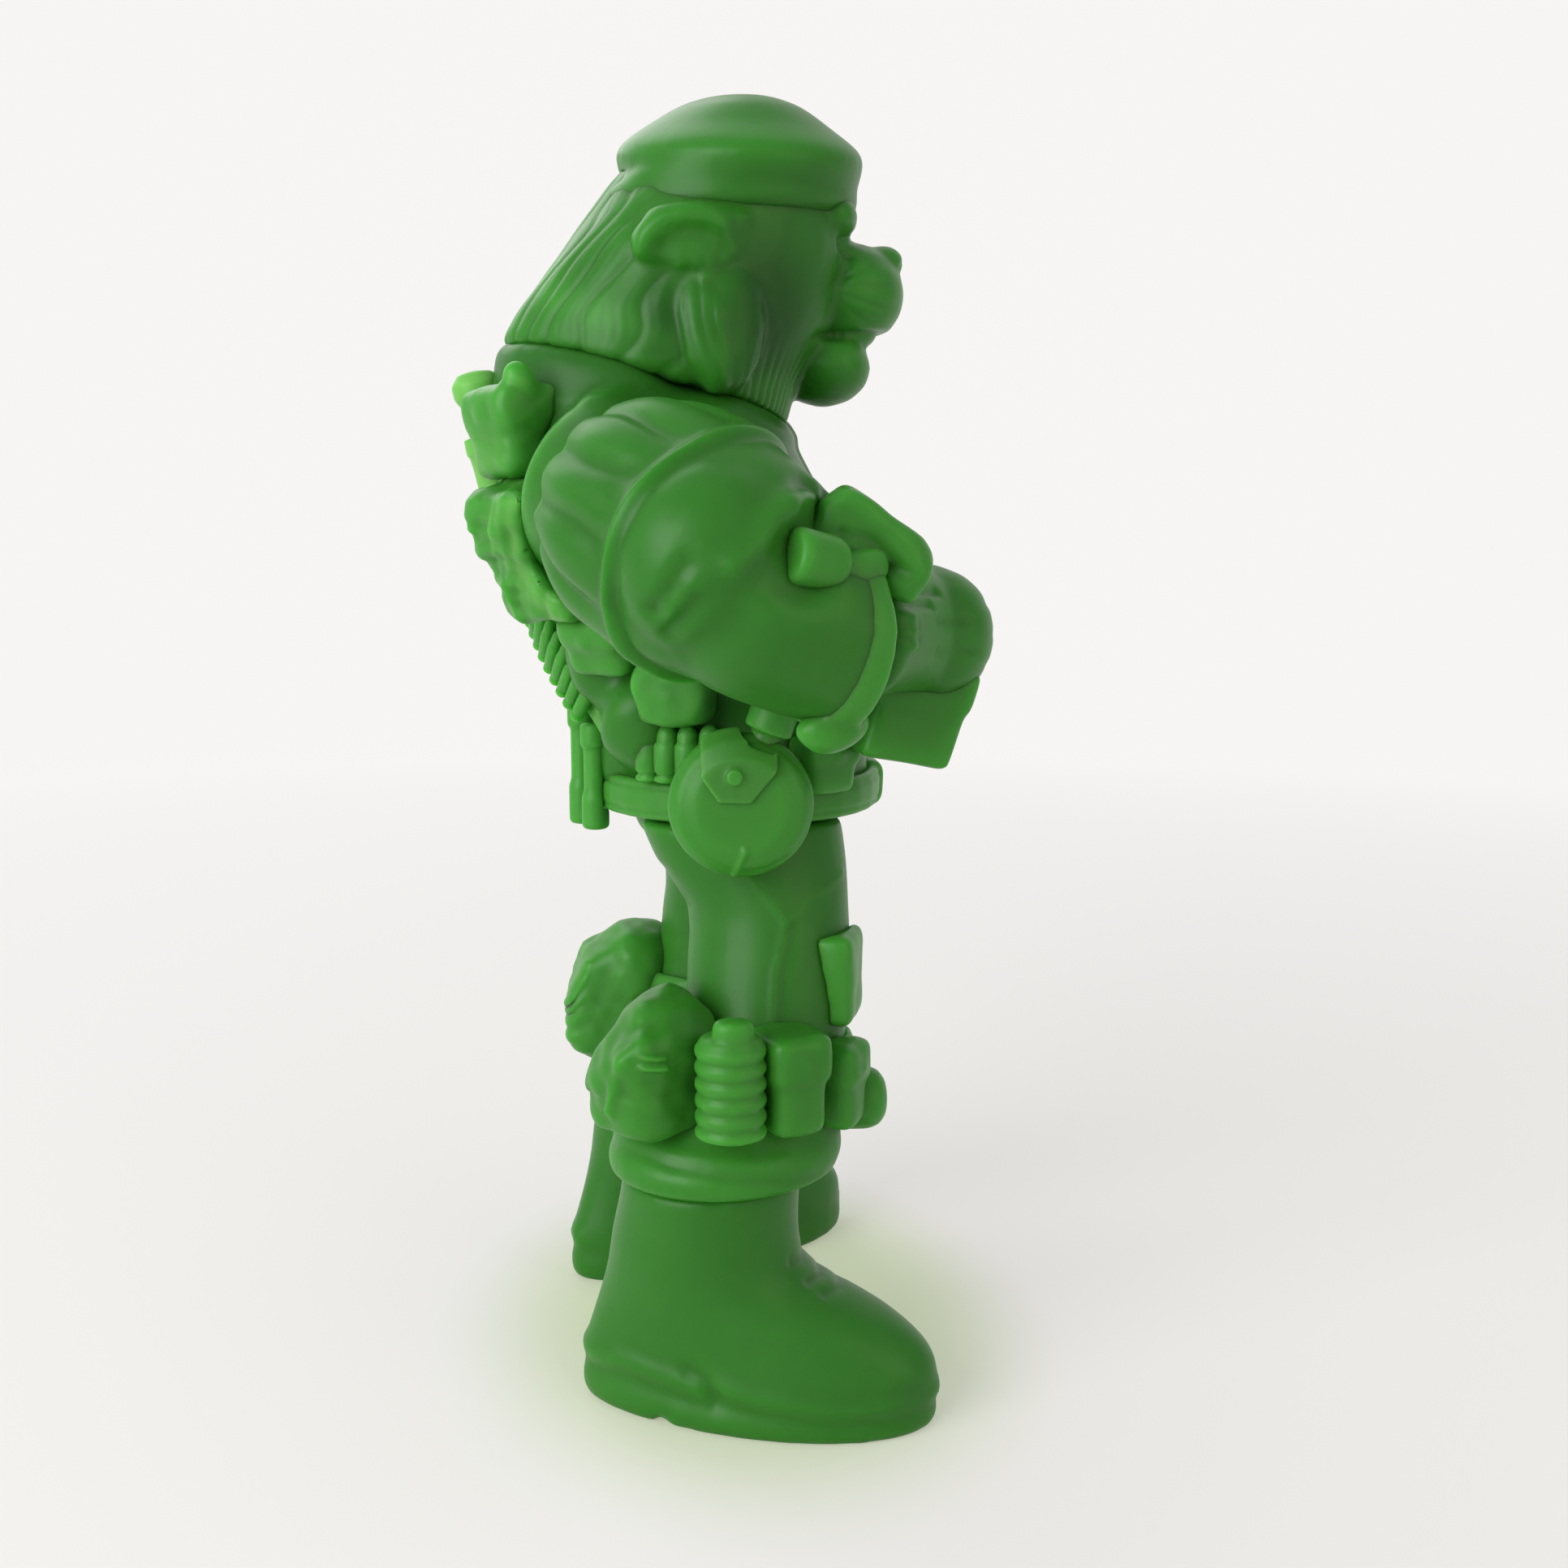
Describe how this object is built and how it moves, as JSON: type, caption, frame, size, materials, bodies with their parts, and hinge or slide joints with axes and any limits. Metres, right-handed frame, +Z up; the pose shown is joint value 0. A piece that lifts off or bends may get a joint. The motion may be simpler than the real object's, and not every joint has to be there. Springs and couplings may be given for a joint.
{
  "type": "toy soldier figure",
  "caption": "Toy soldier figure of an ape in a beret, cast in translucent green vinyl, hung with field gear, with turning head, arms, legs and boots.",
  "frame": {"origin": "on the floor, below the middle of the figure's bounding box", "axes": "+Z up; the figure faces -Y and its right side is -X"},
  "size_m": [0.1474, 0.0887, 0.2286],
  "materials": {
    "vinyl": "satin translucent",
    "gear_vinyl": "satin translucent"
  },
  "bodies": {
    "torso": {"torso": "vinyl", "belt": "gear_vinyl", "bandolier_strap": "gear_vinyl", "bandolier_rounds": "gear_vinyl", "scabbard": "gear_vinyl", "scabbard_handle": "gear_vinyl", "upper_back_pouch": "gear_vinyl", "lower_back_bag": "gear_vinyl", "side_pouch": "gear_vinyl", "round_pouch": "gear_vinyl", "belt_rounds": "gear_vinyl", "canteen": "gear_vinyl", "canteen_cap": "gear_vinyl", "canteen_flaps": "gear_vinyl", "hip_torch": "gear_vinyl", "front_pouch": "gear_vinyl"},
    "head": {"head": "vinyl", "beret": "vinyl"},
    "right_arm": {"right_arm": "vinyl", "right_cuff": "gear_vinyl", "bolt_handle": "gear_vinyl", "receiver": "gear_vinyl", "magazine": "gear_vinyl"},
    "left_arm": {"left_arm": "vinyl", "left_cuff": "gear_vinyl"},
    "right_leg": {"right_leg": "vinyl", "right_leg_strap": "gear_vinyl", "leg_bag": "gear_vinyl", "leg_canister": "gear_vinyl", "rear_magazine_pouch": "gear_vinyl", "front_magazine_pouch": "gear_vinyl", "knee_knob": "gear_vinyl", "thigh_plate": "gear_vinyl"},
    "left_leg": {"left_leg": "vinyl", "left_leg_strap": "gear_vinyl", "left_leg_bag": "gear_vinyl"},
    "right_boot": {"right_boot": "vinyl"},
    "left_boot": {"left_boot": "vinyl"}
  },
  "joints": [
    {"name": "neck_turn", "type": "hinge", "parent": "torso", "child": "head", "pos_m": [0, 0.0091, 0.1775], "axis": [0, -0.2588, 0.9659], "continuous": true},
    {"name": "right_shoulder", "type": "hinge", "parent": "torso", "child": "right_arm", "pos_m": [-0.034, 0.0193, 0.15762], "axis": [-0.7035, -0.5929, -0.3919], "range_deg": [0, 100]},
    {"name": "left_shoulder", "type": "hinge", "parent": "torso", "child": "left_arm", "pos_m": [0.034, 0.0193, 0.15762], "axis": [0.7035, -0.5929, -0.3919], "range_deg": [-100, 15]},
    {"name": "right_hip", "type": "hinge", "parent": "torso", "child": "right_leg", "pos_m": [-0.0165, -0.0044, 0.1025], "axis": [0, 0, 1], "range_deg": [-12, 12]},
    {"name": "left_hip", "type": "hinge", "parent": "torso", "child": "left_leg", "pos_m": [0.0165, -0.0044, 0.1025], "axis": [0, 0, 1], "range_deg": [-12, 12]},
    {"name": "right_ankle", "type": "hinge", "parent": "right_leg", "child": "right_boot", "pos_m": [-0.03, 0.0028, 0.043], "axis": [0, 0, 1], "range_deg": [-20, 20]},
    {"name": "left_ankle", "type": "hinge", "parent": "left_leg", "child": "left_boot", "pos_m": [0.03, 0.0028, 0.043], "axis": [0, 0, 1], "range_deg": [-20, 20]}
  ]
}
